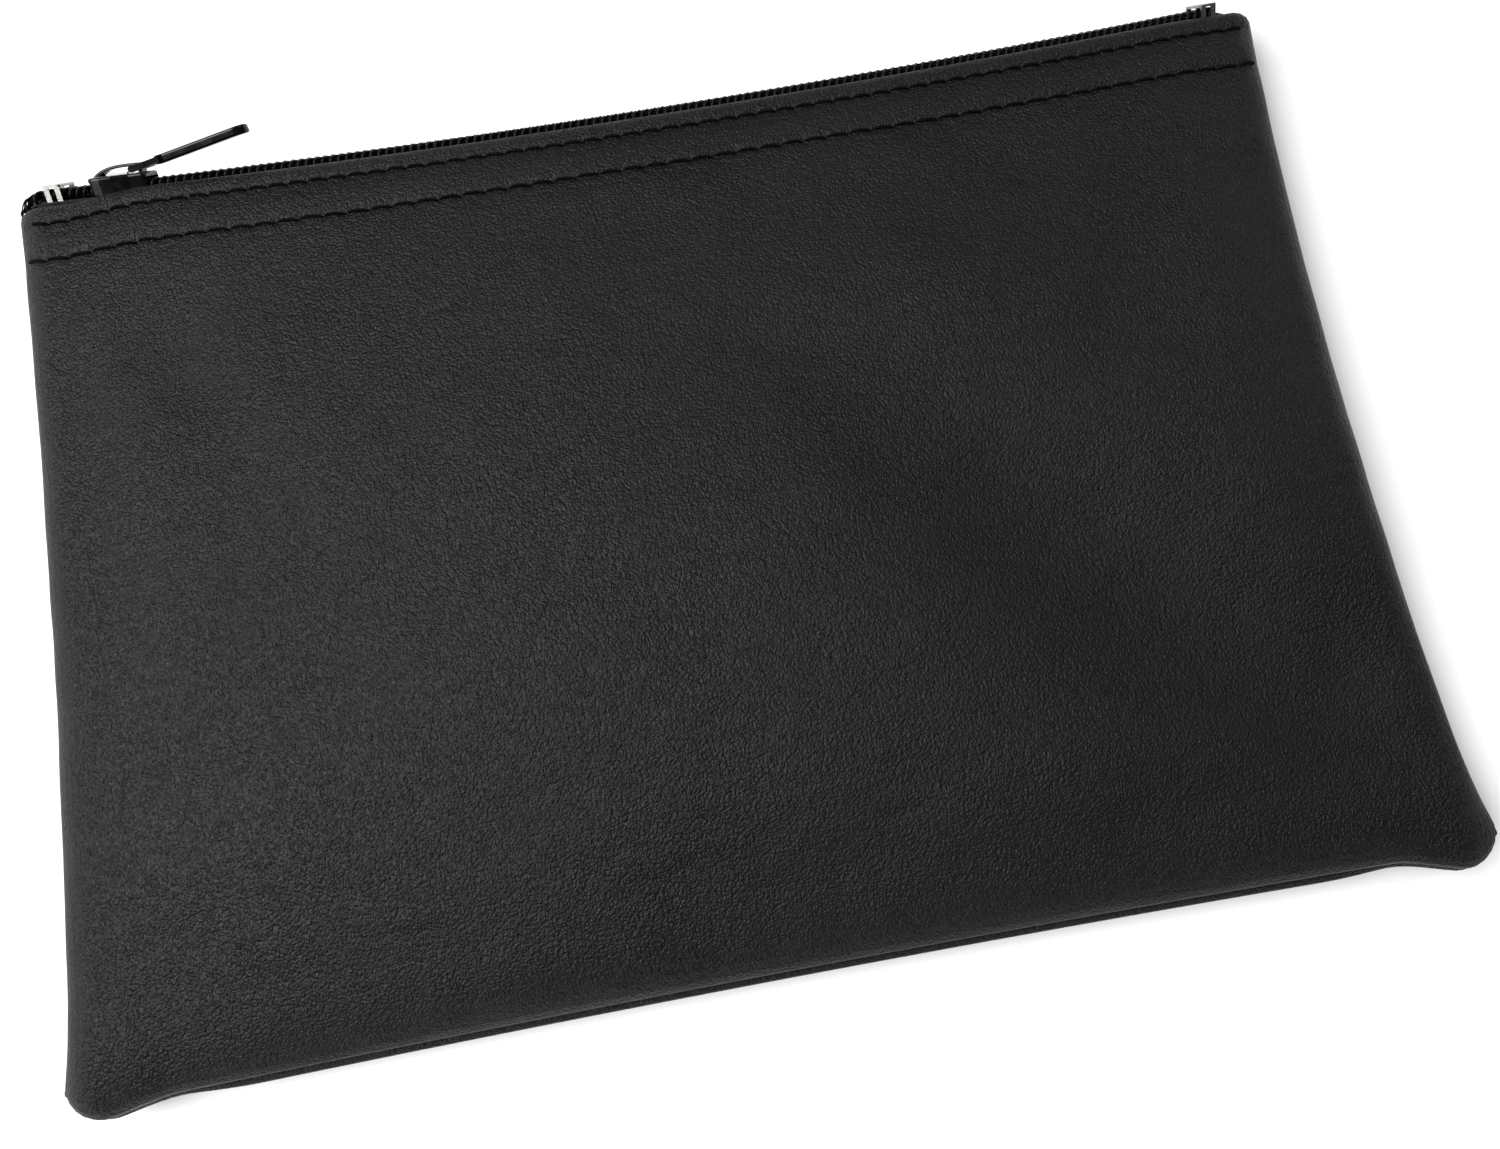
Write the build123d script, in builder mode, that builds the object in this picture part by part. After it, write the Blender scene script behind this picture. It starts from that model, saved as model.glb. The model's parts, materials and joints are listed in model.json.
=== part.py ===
"""Zippered cash deposit bag, closed and lying on its back panel.

Frame: +X along the zip from the slider's end, +Y from the bottom seam to the
zip edge, +Z up through the front panel. The origin is on the rest plane.
All lengths are in millimetres.
"""

import os
from math import cos, hypot, pi, radians, sin, sqrt

from build123d import *

os.makedirs("parts", exist_ok=True)

# --- driving dimensions of the bag
HALF_WIDTH = 139.5  # side seam to bag centre, at the zip
BOTTOM_FLARE = 1.5  # the bottom corners stand out this much more
BOTTOM_Y = -95.0  # bottom seam at its corners
ZIP_Y = 92.0  # chain centre at the middle of the zip
SEAM_Z = 9.0  # height of the side and bottom seams and of the chain
ZIP_RADIUS = 2700.0  # the zip edge bows inward in a long arc
SKIN = 0.7  # leatherette with its cloth backing
HEM_DEPTH = 16.0  # width of the turned-in hem
SEAM_ALLOWANCE = 4.5
DOME = 8.5  # rise of the front panel above its edges
REST_SINK = 0.15  # the underside is cut flat this far above its lowest point
SIDE_ROLL = 5.0  # radius of the soft edge at the side seams
BOTTOM_ROLL = 7.0
MOUTH_END = 0.3  # share of the zip edge's height left where it meets the side seams
MOUTH_REACH = 0.12  # the side seams rise to it over this share of the bag's height
CORNER = 10.0  # plan radius of the bottom corners
LEFT_BOW, RIGHT_BOW, BOTTOM_BOW = 2.0, 4.5, 2.0
BACK_RISE = 28.0  # the back panel leaves the rest plane this far from the zip edge

# --- driving dimensions of the zip
CHAIN_TILT = 35.0  # the chain faces outward and this many degrees upward
PITCH = 1.78
FILAMENT = 0.6
COIL_ROOT, COIL_HEAD = 2.6, -0.25  # filament centres across the chain
COIL_LOW, COIL_HIGH = 0.35, 2.15  # filament centres above the tape
TAPE = 0.45
TAPE_EDGE, TAPE_FLAT = 0.75, 4.4  # the tape is flat between these, then bends
BEND = 1.9  # radius of the tape's middle where it turns under the hem
TAPE_UNDER = 14.0  # reach of the tape below the hem's fold
BEND_STEPS = 5
HEM_START = 20.0  # degrees round the bend where the hem's fold begins
FRONT_TURN, BACK_TURN = 45.0, 125.0
TAPE_HALF = 134.0  # half length of tapes, coils and cords
CORD_RADIUS = 0.48

# --- driving dimensions of the thread
THREAD = 0.13
STITCH_WIDE, STITCH_THICK = 0.6, 0.26
UPPER_ROW, UPPER_PITCH, UPPER_STITCH = 4.0, 4.3, 3.3  # distance below the fold, spacing, length
LOWER_ROW, LOWER_PITCH, LOWER_STITCH = 13.0, 5.0, 3.9
SEAM_INSET, SEAM_PITCH, SEAM_STITCH = 2.2, 3.6, 2.6

# --- driving dimensions of the slider and its stops
SLIDER_AT = -116.6  # arc length from the zip's middle
SLIDER_HALF = 6.15
SPREAD = 1.25  # how far the wedge parts each coil
WEDGE = 2.6  # the wedge's reach each way from the slider's middle
STOP_LEFT, STOP_RIGHT = -131.0, 129.7
STOP_LENGTH, STOP_WIDTH = 3.8, 7.2
STOP_ROOF = 2.85  # underside of the stop, above the tape
PRONG_ALONG, PRONG_ACROSS = 1.15, 3.35  # where the stop's prongs pass through the tapes
PLATE_LOW, PLATE_HIGH = -0.6, 2.95  # inner faces of the slider's two plates
PLATE = 0.95
TAB_ANGLE = 12.0  # the tab stands off the chain
TAB_LENGTH = 27.0
EYE_THICK, BLADE_THICK = 1.3, 1.9  # the tab is thinner round its window
HINGE_X, HINGE_N = 3.0, 4.65  # tab hinge in the slider's frame
HINGE_PIN = 0.45
LUG = 0.7  # width of the tab's round ends on the hinge

TILT = radians(CHAIN_TILT)
PIVOT_Y = ZIP_Y + ZIP_RADIUS
HEM_OUT = TAPE / 2 + 2 * SKIN  # outer face of the hem from the tape's middle
CLEAR = 0.05
TAPE_GAP = 0.16  # the tape's clearance from the hem


# --- frames along the zip
def arc_point(along, out, up):
    """A point beside the zip: out is horizontal, away from the bag."""
    turn = along / ZIP_RADIUS
    reach = ZIP_RADIUS - out
    return (reach * sin(turn), PIVOT_Y - reach * cos(turn), SEAM_Z + up)


def chain_point(along, across, above):
    """A point by the chain: across runs to the front, above is its outward normal."""
    out = above * cos(TILT) - across * sin(TILT)
    up = above * sin(TILT) + across * cos(TILT)
    return arc_point(along, out, up)


def chain_plane(along, across=0.0, above=0.0):
    """Plane with x along the chain, y to the back tape and z off its face."""
    turn = along / ZIP_RADIUS
    tangent = (cos(turn), sin(turn), 0)
    normal = (-sin(turn) * cos(TILT), cos(turn) * cos(TILT), sin(TILT))
    return Plane(chain_point(along, across, above), x_dir=tangent, z_dir=normal)


def chain_side_plane(along, above=0.0):
    """Plane for side profiles: x along the chain, y off its face."""
    base = chain_plane(along, 0.0, above)
    return Plane(base.origin, x_dir=base.x_dir, z_dir=-base.y_dir)


def spread_at(along):
    """How far the coils stand apart, from meshed at 0 to parted at 1."""
    nose = SLIDER_AT - SLIDER_HALF
    post = SLIDER_AT - WEDGE
    tail = SLIDER_AT + WEDGE
    stop = STOP_LEFT + STOP_LENGTH / 2
    if along >= tail or along <= stop:
        return 0.0
    if along > post:
        part = (tail - along) / (tail - post)
    elif along < nose:
        part = (along - stop) / (nose - stop)
    else:
        part = 1.0
    return part * part * (3 - 2 * part)


# --- the two panels as surfaces
def side_fall(base_x, zip_share):
    """Height share near a side seam: a quarter round that stays a little open at the zip."""
    inset = HALF_WIDTH - abs(base_x)
    if inset >= SIDE_ROLL:
        return 1.0
    fall = sqrt(max(0.0, 1 - (1 - inset / SIDE_ROLL) ** 2))
    return hypot(fall, MOUTH_END * zip_share * sqrt(1 - fall**2))


def bend_point(side, base_x, turned, depth):
    """A point on the bend beside the chain; side is 1 for front, -1 for back."""
    hub_across, hub_above = TAPE_FLAT, -TAPE / 2 - BEND
    hub_out = hub_above * cos(TILT) - side * hub_across * sin(TILT)
    hub_up = hub_above * sin(TILT) + side * hub_across * cos(TILT)
    angle = TILT + side * radians(turned)
    reach = BEND + HEM_OUT - depth
    fall = side_fall(base_x, 1.0)
    out = (hub_out + reach * cos(angle)) * fall
    up = (hub_up + reach * sin(angle)) * fall
    return Vector(*arc_point(base_x, out, up))


def bottom_point(base_x):
    """The bottom seam in plan, bowed inward, with rounded corners."""
    over = max(0.0, abs(base_x) - (HALF_WIDTH - CORNER))
    round_up = CORNER - sqrt(max(0.0, CORNER**2 - over**2))
    share = base_x / HALF_WIDTH
    y = BOTTOM_Y + BOTTOM_BOW * (1 - share**2) + round_up
    return Vector(base_x + BOTTOM_FLARE * share, y, 0)


def field_point(side, base_x, run):
    """A point of a panel's outer face; run goes from the seam, 0, to the bend, 1."""
    start = bottom_point(base_x)
    turn = FRONT_TURN if side > 0 else BACK_TURN
    end = bend_point(side, base_x, turn, 0.0)
    share = base_x / HALF_WIDTH
    bow = LEFT_BOW if base_x < 0 else RIGHT_BOW
    x = start.X + (end.X - start.X) * run - bow * share**5 * 4 * run * (1 - run)
    y = start.Y + (end.Y - start.Y) * run
    inset = y - start.Y
    roll = min(1.0, inset / BOTTOM_ROLL)
    zip_share = max(0.0, 1 - (1 - run) / MOUTH_REACH)
    rise = sqrt(max(0.0, 1 - (1 - roll) ** 2)) * side_fall(base_x, zip_share**2)
    edge = abs(bend_point(side, 0.0, turn, 0.0).Z - SEAM_Z)
    if side > 0:
        swell = DOME * (1 - share**2) * 4 * run * (1 - run) * (1.15 - 0.35 * run)
    else:
        near = min(1.0, (end.Y - y) / BACK_RISE)
        swell = (SEAM_Z + REST_SINK - edge) * near * near * (3 - 2 * near)
    return Vector(x, y, SEAM_Z + side * (CLEAR * (1 - rise) + rise * (edge + swell)))


def panel_point(side, base_x, row):
    """Rows up to 1 lie in the panel's field, rows past 1 on the bend by the chain."""
    if row <= 1.0:
        return field_point(side, base_x, row)
    turn = FRONT_TURN if side > 0 else BACK_TURN
    turned = turn + (HEM_START - turn) * (row - 1)
    return bend_point(side, base_x, turned, 0.0)


def panel_normal(side, base_x, row):
    """Outward unit normal of a panel's outer face."""
    step = 0.002
    low, high = (row - 2 * step, row) if row <= 1.0 else (row, row + 2 * step)
    across = panel_point(side, base_x + 0.05, row) - panel_point(side, base_x - 0.05, row)
    along = panel_point(side, base_x, high) - panel_point(side, base_x, low)
    return across.cross(along).normalized() * side


def sunk_point(side, base_x, row, depth):
    """A point below a panel's outer face."""
    return panel_point(side, base_x, row) - panel_normal(side, base_x, row) * depth


def columns(half, roll, spaces):
    """Base positions across the bag, closer together at the rolled sides."""
    inner = half - roll
    middle = [-inner + 2 * inner * i / spaces for i in range(spaces + 1)]
    edge = [half - roll * (1 - cos(pi / 2 * i / 3)) for i in range(3)]
    return [-x for x in edge] + middle + list(reversed(edge))


def field_rows(spaces):
    """Row numbers from the bottom seam to the bend, closer together at the roll."""
    start = BOTTOM_ROLL / (ZIP_Y - BOTTOM_Y)
    rows = [start * (1 - cos(pi / 2 * i / 3)) for i in range(3)]
    return rows + [start + (1 - start) * i / spaces for i in range(spaces + 1)]


def sheet_solid(outer, inner):
    """Closed solid between two grids of points, faced with triangles."""
    last_i, last_j = len(outer) - 1, len(outer[0]) - 1
    quads = []
    for i in range(last_i):
        for j in range(last_j):
            quads.append((outer[i][j], outer[i + 1][j], outer[i + 1][j + 1], outer[i][j + 1]))
            quads.append((inner[i][j], inner[i][j + 1], inner[i + 1][j + 1], inner[i + 1][j]))
        quads.append((outer[i][0], inner[i][0], inner[i + 1][0], outer[i + 1][0]))
        quads.append((outer[i][last_j], outer[i + 1][last_j], inner[i + 1][last_j], inner[i][last_j]))
    for j in range(last_j):
        quads.append((outer[0][j], outer[0][j + 1], inner[0][j + 1], inner[0][j]))
        quads.append((outer[last_i][j], inner[last_i][j], inner[last_i][j + 1], outer[last_i][j + 1]))
    faces = []
    for a, b, c, d in quads:
        for corners in ((a, b, c), (a, c, d)):
            span = (corners[1] - corners[0]).cross(corners[2] - corners[0])
            if span.length > 1e-7:
                faces.append(Face(Wire.make_polygon(corners, close=True)))
    return Solid(Shell(faces))


def row_below_rim(side, distance):
    """Row number of a line that lies this far below the hem's fold."""
    turn = FRONT_TURN if side > 0 else BACK_TURN
    bend_length = (BEND + HEM_OUT) * radians(turn - HEM_START)
    if distance < bend_length:
        return 2 - distance / bend_length
    start, end = panel_point(side, 0.0, 0.0), panel_point(side, 0.0, 1.0)
    return 1 - (distance - bend_length) / (end.Y - start.Y)


def seam_outline(inset):
    """Plan line of the seams from the left end of the zip to the right, moved inward."""
    steps = [HALF_WIDTH * (2 * i / 40 - 1) for i in range(41)]
    rows = [i / 12 for i in range(12)]
    left = [field_point(1, -HALF_WIDTH, row) for row in reversed(rows)]
    right = [field_point(1, HALF_WIDTH, row) for row in rows]
    outline = left + [bottom_point(x) for x in steps[1:-1]] + right
    points = []
    for i, point in enumerate(outline):
        moved = point + inward_at(outline, i) * inset
        points.append(Vector(moved.X, moved.Y, 0))
    return points


def inward_at(points, index):
    """Horizontal unit vector off a plan curve, to the left of its run."""
    before, after = points[max(0, index - 1)], points[min(len(points) - 1, index + 1)]
    run = Vector(after.X - before.X, after.Y - before.Y, 0).normalized()
    return Vector(-run.Y, run.X, 0)


def panel_grids(side):
    """Outer and inner points of a panel, with its allowances and its doubled hem."""
    xs = columns(HALF_WIDTH, SIDE_ROLL, 14)
    hem_row = row_below_rim(side, HEM_DEPTH)
    rows = [row for row in field_rows(14) if abs(row - hem_row) > 0.01]
    rows = sorted(rows + [hem_row, hem_row + 0.002])
    rows += [1 + i / BEND_STEPS for i in range(1, BEND_STEPS + 1)]
    outer, inner = [], []
    for x in xs:
        depths = [2 * SKIN if row > hem_row else SKIN for row in rows]
        outer.append([panel_point(side, x, row) for row in rows])
        inner.append([sunk_point(side, x, row, depth) for row, depth in zip(rows, depths)])
    up = Vector(0, 0, side * SKIN)
    for i in range(len(xs)):
        inward = inward_at([column[0] for column in outer], i)
        seam = outer[i][0]
        inner[i][0] = seam + inward * SKIN + up
        outer[i].insert(0, seam + inward * SEAM_ALLOWANCE)
        inner[i].insert(0, seam + inward * SEAM_ALLOWANCE + up)
    for index, place in ((0, 0), (-1, len(outer) + 1)):
        inward = Vector(1, 0, 0) if index == 0 else Vector(-1, 0, 0)
        seams = [outer[index][1]] + outer[index][1:]
        for j in range(1, len(seams)):
            inner[index][j] = seams[j] + inward * SKIN + up
        strip = [point + inward * SEAM_ALLOWANCE for point in seams]
        outer.insert(place, strip)
        inner.insert(place, [point + up for point in strip])
    return outer, inner


def make_panel(side):
    """One leatherette panel: skin, doubled hem and seam allowances."""
    outer, inner = panel_grids(side)
    with BuildPart() as panel:
        add(sheet_solid(outer, inner))
        if side < 0:
            split(bisect_by=Plane.XY, keep=Keep.TOP)
    return panel


def make_tape(side):
    """Woven tape: flat beside the chain, then bent round under the hem."""
    turn = FRONT_TURN if side > 0 else BACK_TURN
    under = [row_below_rim(side, TAPE_UNDER * (1 - i / 5)) for i in range(6)]
    rows = [row for row in under if row < 0.998] + [1.0]
    outer, inner = [], []
    for i in range(-14, 15):
        x = TAPE_HALF * i / 14
        near, far = HEM_OUT - TAPE / 2 + TAPE_GAP, HEM_OUT + TAPE / 2 + 0.05
        for grid, depth in ((outer, near), (inner, far)):
            line = [sunk_point(side, x, row, depth) for row in rows]
            line += [bend_point(side, x, turn * (1 - (k + 1) / 6), depth) for k in range(6)]
            above = HEM_OUT - TAPE / 2 - depth
            line += [Vector(*chain_point(x, side * TAPE_EDGE, above))]
            grid.append(line)
    with BuildPart() as tape:
        add(sheet_solid(outer, inner))
        for stop in (STOP_LEFT, STOP_RIGHT):
            for along in (stop - PRONG_ALONG, stop + PRONG_ALONG):
                slot = chain_plane(along, side * PRONG_ACROSS, -0.3)
                with BuildSketch(slot):
                    Rectangle(1.5, 0.7)
                extrude(amount=1.5, both=True, mode=Mode.SUBTRACT)
    return tape


# --- chain
def make_coil(side):
    """One continuous filament wound in flattened turns beside the tape's edge."""
    count = int((2 * TAPE_HALF - 2) / PITCH)
    lag = 0.0 if side > 0 else PITCH / 2
    points = []
    for i in range(count):
        start = -TAPE_HALF + 1 + lag + i * PITCH
        turn = [
            (0.0, COIL_ROOT, COIL_HIGH),
            (0.3, COIL_HEAD, COIL_HIGH),
            (0.3, COIL_HEAD, COIL_LOW),
            (0.6, COIL_ROOT, COIL_LOW),
        ]
        for shift, across, above in turn:
            along = start + shift
            apart = across + SPREAD * spread_at(along)
            points.append(chain_point(along, side * apart, above))
    with BuildPart() as coil:
        with BuildLine() as path:
            Polyline(*points)
        first = (Vector(*points[1]) - Vector(*points[0])).normalized()
        with BuildSketch(Plane(points[0], z_dir=first)):
            Rectangle(FILAMENT, FILAMENT)
        sweep(path=path.line, transition=Transition.RIGHT)
    return coil


def route(side, across, above, half):
    """Points of a cord or thread that follows one coil."""
    stations = [-half + 2 * half * i / 24 for i in range(25)]
    near = [SLIDER_AT + step for step in range(-14, 8, 2)]
    stations = [s for s in stations if not near[0] - 3 < s < near[-1] + 3] + near
    return [
        chain_point(s, side * (across + SPREAD * spread_at(s)), above)
        for s in sorted(stations)
    ]


def tube_solid(line, radius, sides=8):
    """Closed round tube along a gentle line, faced with triangles."""
    rings = []
    for i, point in enumerate(line):
        run = line[min(len(line) - 1, i + 1)] - line[max(0, i - 1)]
        section = Plane(point, x_dir=Vector(0, 0, 1).cross(run), z_dir=run)
        turns = [2 * pi * k / sides for k in range(sides)]
        rings.append([section.from_local_coords((radius * cos(t), radius * sin(t), 0)) for t in turns])
    faces = [Face(Wire.make_polygon(rings[0][::-1], close=True))]
    for ring, ahead in zip(rings, rings[1:]):
        for k in range(sides):
            a, b, c, d = ring[k], ring[(k + 1) % sides], ahead[(k + 1) % sides], ahead[k]
            faces += [Face(Wire.make_polygon(corners, close=True)) for corners in ((a, b, c), (a, c, d))]
    faces.append(Face(Wire.make_polygon(rings[-1], close=True)))
    return Solid(Shell(faces))


def make_strand(side, acrosses, above, radius, half):
    """Round strands that run along one coil, one at each place in acrosses."""
    with BuildPart() as strand:
        for across in acrosses:
            line = [Vector(*point) for point in route(side, across, above, half)]
            add(tube_solid(line, radius))
    return strand


# --- slider
def slider_outline():
    """Half the slider's plan, from nose to tail, as x and half width."""
    return [(-6.15, 3.9), (-5.2, 4.7), (-3.4, 4.85), (-1.0, 4.6), (2.6, 3.95), (5.6, 3.75), (6.15, 3.2)]


def mirrored(half):
    return half + [(x, -y) for x, y in reversed(half)]


def make_slider_body():
    """Two plates joined by the wedge, with flanges beside the channel."""
    channel = [(-6.3, 4.25), (-1.4, 4.25), (2.8, 3.12), (6.3, 3.12)]
    low = PLATE_LOW - PLATE
    with BuildPart() as body:
        with BuildSketch(chain_plane(SLIDER_AT, 0, 0.25)):
            with BuildLine():
                Polyline(*mirrored(slider_outline()), close=True)
            make_face()
        extrude(amount=PLATE_HIGH + PLATE - 0.25)
        off_face = Axis((0, 0, 0), chain_plane(SLIDER_AT).z_dir)
        fillet(body.edges().filter_by(off_face), radius=0.9)
        fillet(body.faces().sort_by(off_face)[-1].edges(), radius=0.55)
        with BuildSketch(chain_plane(SLIDER_AT, 0, 0.2)):
            with BuildLine():
                Polyline(*mirrored(channel), close=True)
            make_face()
        extrude(amount=PLATE_HIGH - 0.2, mode=Mode.SUBTRACT)
        with BuildSketch(chain_plane(SLIDER_AT, 0, low)):
            with BuildLine():
                Polyline(*mirrored([(x, y - 0.7) for x, y in slider_outline()]), close=True)
            make_face()
        extrude(amount=PLATE)
        with BuildSketch(chain_plane(SLIDER_AT, 0, PLATE_LOW - 0.1)):
            with BuildLine():
                Polyline((-5.9, 0), (-5.2, 0.6), (-3.3, 0.6), (-2.0, 0.0), (-3.3, -0.6),
                         (-5.2, -0.6), close=True)
            make_face()
        extrude(amount=PLATE_HIGH - PLATE_LOW + 0.2)
        with BuildSketch(chain_plane(SLIDER_AT, 0, PLATE_HIGH - 0.1)):
            with Locations((0.9, 0)):
                Rectangle(1.3, 1.7)
        extrude(amount=PLATE + 0.2, mode=Mode.SUBTRACT)
    return body


def make_slider_cap():
    """Sprung crown that arches over the lock and holds the tab."""
    base = PLATE_HIGH + PLATE + 0.01
    with BuildPart() as cap:
        with BuildSketch(chain_side_plane(SLIDER_AT)):
            with BuildLine():
                Spline((-5.9, base), (-4.0, base + 1.15), (-1.2, base + 1.85), (2.4, base + 2.0),
                       tangents=[(0.75, 0.66), (1, 0)])
                Line((2.4, base + 2.0), (3.8, base + 2.0))
                RadiusArc((3.8, base + 2.0), (4.9, base + 0.9), 1.1)
                Line((4.9, base + 0.9), (4.9, base))
                Line((4.9, base), (4.2, base))
                Line((4.2, base), (4.2, base + 0.94))
                RadiusArc((4.2, base + 0.94), (3.8, base + 1.34), -0.4)
                Line((3.8, base + 1.34), (2.4, base + 1.34))
                Spline((2.4, base + 1.34), (-1.0, base + 1.2), (-3.4, base + 0.58), (-4.4, base),
                       tangents=[(-1, 0), (-0.8, -0.6)])
                Line((-4.4, base), (-5.9, base))
            make_face()
        extrude(amount=1.5, both=True)
        base_plane = chain_plane(SLIDER_AT)
        rims = [e for e in cap.edges() if e.length > 2 and abs((e % 0.5).dot(base_plane.y_dir)) < 0.1]
        rims.sort(key=lambda e: -base_plane.to_local_coords(e @ 0.5).Z)
        fillet(rims[:4], radius=0.35)
    return cap


def make_lock_pawl():
    """Sheet spring under the crown with a claw through the top plate."""
    low = PLATE_HIGH + PLATE + 0.12
    with BuildPart() as pawl:
        with BuildSketch(chain_side_plane(SLIDER_AT)):
            with BuildLine():
                Polyline((-2.9, low), (0.6, low), (0.75, PLATE_HIGH - 0.05), (1.0, PLATE_HIGH - 0.05),
                         (1.2, low + 0.25), (-2.9, low + 0.25), close=True)
            make_face()
        extrude(amount=0.6, both=True)
    return pawl


def tab_plane():
    """Plane in the tab: x from the hinge to the tip, z off the tab's outer face."""
    base = chain_plane(SLIDER_AT)
    hinge = base.from_local_coords(Vector(HINGE_X, 0, HINGE_N))
    lift = radians(TAB_ANGLE)
    along = base.x_dir * cos(lift) + base.z_dir * sin(lift)
    off = base.z_dir * cos(lift) - base.x_dir * sin(lift)
    return Plane(hinge, x_dir=along, z_dir=off)


def make_pull_tab():
    """Flat tab, wider at its tip, with a window round the crown."""
    plane = tab_plane()
    eye, blade, tip = 2.4, 5.8, 2.7
    with BuildPart() as tab:
        with BuildSketch(plane.offset(-BLADE_THICK / 2)):
            with BuildLine():
                Polyline((blade, eye), (7.4, 1.7), (TAB_LENGTH - tip, tip), (TAB_LENGTH - tip, -tip),
                         (7.4, -1.7), (blade, -eye), close=True)
            make_face()
            with Locations((TAB_LENGTH - tip, 0)):
                Circle(tip)
        extrude(amount=BLADE_THICK)
        flats = tab.faces().filter_by(Axis((0, 0, 0), plane.z_dir))
        fillet(flats.edges(), radius=0.5)
        with BuildSketch(plane.offset(-EYE_THICK / 2)):
            with Locations((blade / 2 + 0.4, 0)):
                Rectangle(blade + 0.8, 2 * eye)
        extrude(amount=EYE_THICK)
        with BuildSketch(plane.offset(-EYE_THICK)):
            with Locations((2.45, 0)):
                Rectangle(4.9, 2 * (eye - LUG))
        extrude(amount=2 * EYE_THICK, mode=Mode.SUBTRACT)
        with BuildSketch(Plane(plane.from_local_coords(Vector(0, -eye, 0)), z_dir=plane.y_dir)):
            Circle(HINGE_PIN)
        extrude(amount=2 * eye)
        for start in (-eye, eye - LUG):
            with BuildSketch(Plane(plane.from_local_coords(Vector(0, start, 0)), z_dir=plane.y_dir)):
                Circle(EYE_THICK / 2)
            extrude(amount=LUG)
    return tab


def make_end_stop(along):
    """Metal staple over both coils, its prongs through the tapes."""
    metal = 0.5
    with BuildPart() as stop:
        with BuildSketch(chain_plane(along, 0, STOP_ROOF)):
            RectangleRounded(STOP_LENGTH, STOP_WIDTH, metal)
        extrude(amount=metal)
        for shift in (-PRONG_ALONG, PRONG_ALONG):
            for across in (-PRONG_ACROSS, PRONG_ACROSS):
                with BuildSketch(chain_plane(along + shift, across, STOP_ROOF + metal / 2)):
                    Rectangle(1.1, 0.45)
                extrude(amount=-(STOP_ROOF + 1.15))
    return stop


# --- thread
def make_topstitch(side, below_rim, pitch, length):
    """Stitches of one row, on the hem's outer face."""
    row = row_below_rim(side, below_rim)
    half_count = int((HALF_WIDTH - SIDE_ROLL - 2) / pitch)
    with BuildPart() as stitches:
        for i in range(-half_count, half_count + 1):
            normal = panel_normal(side, i * pitch, row)
            spot = panel_point(side, i * pitch, row) + normal * (0.15 + CLEAR)
            ahead = panel_point(side, i * pitch + 1, row) - panel_point(side, i * pitch - 1, row)
            with Locations(Plane(spot, x_dir=ahead, z_dir=normal)):
                Box(length, STITCH_WIDE, STITCH_THICK)
    return stitches


def make_seam_stitch(first, last):
    """Stitches on both faces of the seam allowances, between two outline stations."""
    line = seam_outline(SEAM_INSET)
    lift = CLEAR + SKIN + 0.16
    with BuildPart() as stitches:
        carry = SEAM_PITCH / 2
        for start, end in zip(line[first:last], line[first + 1 : last + 1]):
            run = end - start
            while carry < run.length:
                spot = start + run.normalized() * carry
                for side in (1, -1):
                    centre = Vector(spot.X, spot.Y, SEAM_Z + side * lift)
                    with Locations(Plane(centre, x_dir=run, z_dir=(0, 0, 1))):
                        Box(SEAM_STITCH, STITCH_WIDE, STITCH_THICK)
                carry += SEAM_PITCH
            carry -= run.length
    return stitches


def save(node, part):
    part.part.label = node
    export_step(part.part, f"parts/{node}.step")


SIDES = {"front": 1, "back": -1}
for name, side in SIDES.items():
    save(f"{name}_panel", make_panel(side))
    save(f"zipper_tape_{name}", make_tape(side))
    save(f"coil_{name}", make_coil(side))
    save(f"coil_cord_{name}", make_strand(side, [1.5], 1.25, CORD_RADIUS, TAPE_HALF - 1))
    save(f"coil_thread_{name}", make_strand(side, [1.1, 1.9], 2.7, THREAD, TAPE_HALF - 2))
    save(f"{name}_upper_stitching", make_topstitch(side, UPPER_ROW, UPPER_PITCH, UPPER_STITCH))
    save(f"{name}_lower_stitching", make_topstitch(side, LOWER_ROW, LOWER_PITCH, LOWER_STITCH))

save("slider_body", make_slider_body())
save("slider_cap", make_slider_cap())
save("lock_pawl", make_lock_pawl())
save("pull_tab", make_pull_tab())
save("end_stop_left", make_end_stop(STOP_LEFT))
save("end_stop_right", make_end_stop(STOP_RIGHT))
save("side_seam_left_stitching", make_seam_stitch(1, 11))
save("bottom_seam_stitching", make_seam_stitch(14, 48))
save("side_seam_right_stitching", make_seam_stitch(52, 61))
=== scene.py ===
"""Cash deposit bag: soft panels, coil zip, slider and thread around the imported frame."""
import json
from collections import namedtuple
from math import asin, cos, exp, hypot, pi, radians, sin, sqrt

import bpy
import bmesh
from mathutils import Euler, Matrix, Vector, noise


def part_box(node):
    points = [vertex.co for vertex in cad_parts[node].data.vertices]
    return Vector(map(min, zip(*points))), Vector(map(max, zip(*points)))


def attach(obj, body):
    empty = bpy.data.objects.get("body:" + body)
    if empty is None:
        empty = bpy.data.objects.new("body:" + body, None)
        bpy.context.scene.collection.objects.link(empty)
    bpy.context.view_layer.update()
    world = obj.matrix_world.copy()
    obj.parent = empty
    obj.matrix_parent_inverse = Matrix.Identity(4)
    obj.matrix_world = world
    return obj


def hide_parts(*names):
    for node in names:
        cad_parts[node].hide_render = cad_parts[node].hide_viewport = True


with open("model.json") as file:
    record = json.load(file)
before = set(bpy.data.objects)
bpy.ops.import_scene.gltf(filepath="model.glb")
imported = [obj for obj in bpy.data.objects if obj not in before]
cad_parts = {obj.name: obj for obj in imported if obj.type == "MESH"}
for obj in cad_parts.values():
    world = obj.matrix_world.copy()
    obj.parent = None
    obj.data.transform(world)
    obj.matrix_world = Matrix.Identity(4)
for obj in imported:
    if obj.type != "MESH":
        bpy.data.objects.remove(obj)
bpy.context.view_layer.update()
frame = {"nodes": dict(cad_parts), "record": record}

MM = 0.001  # shapes are worked out in millimetres and made in metres

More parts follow.
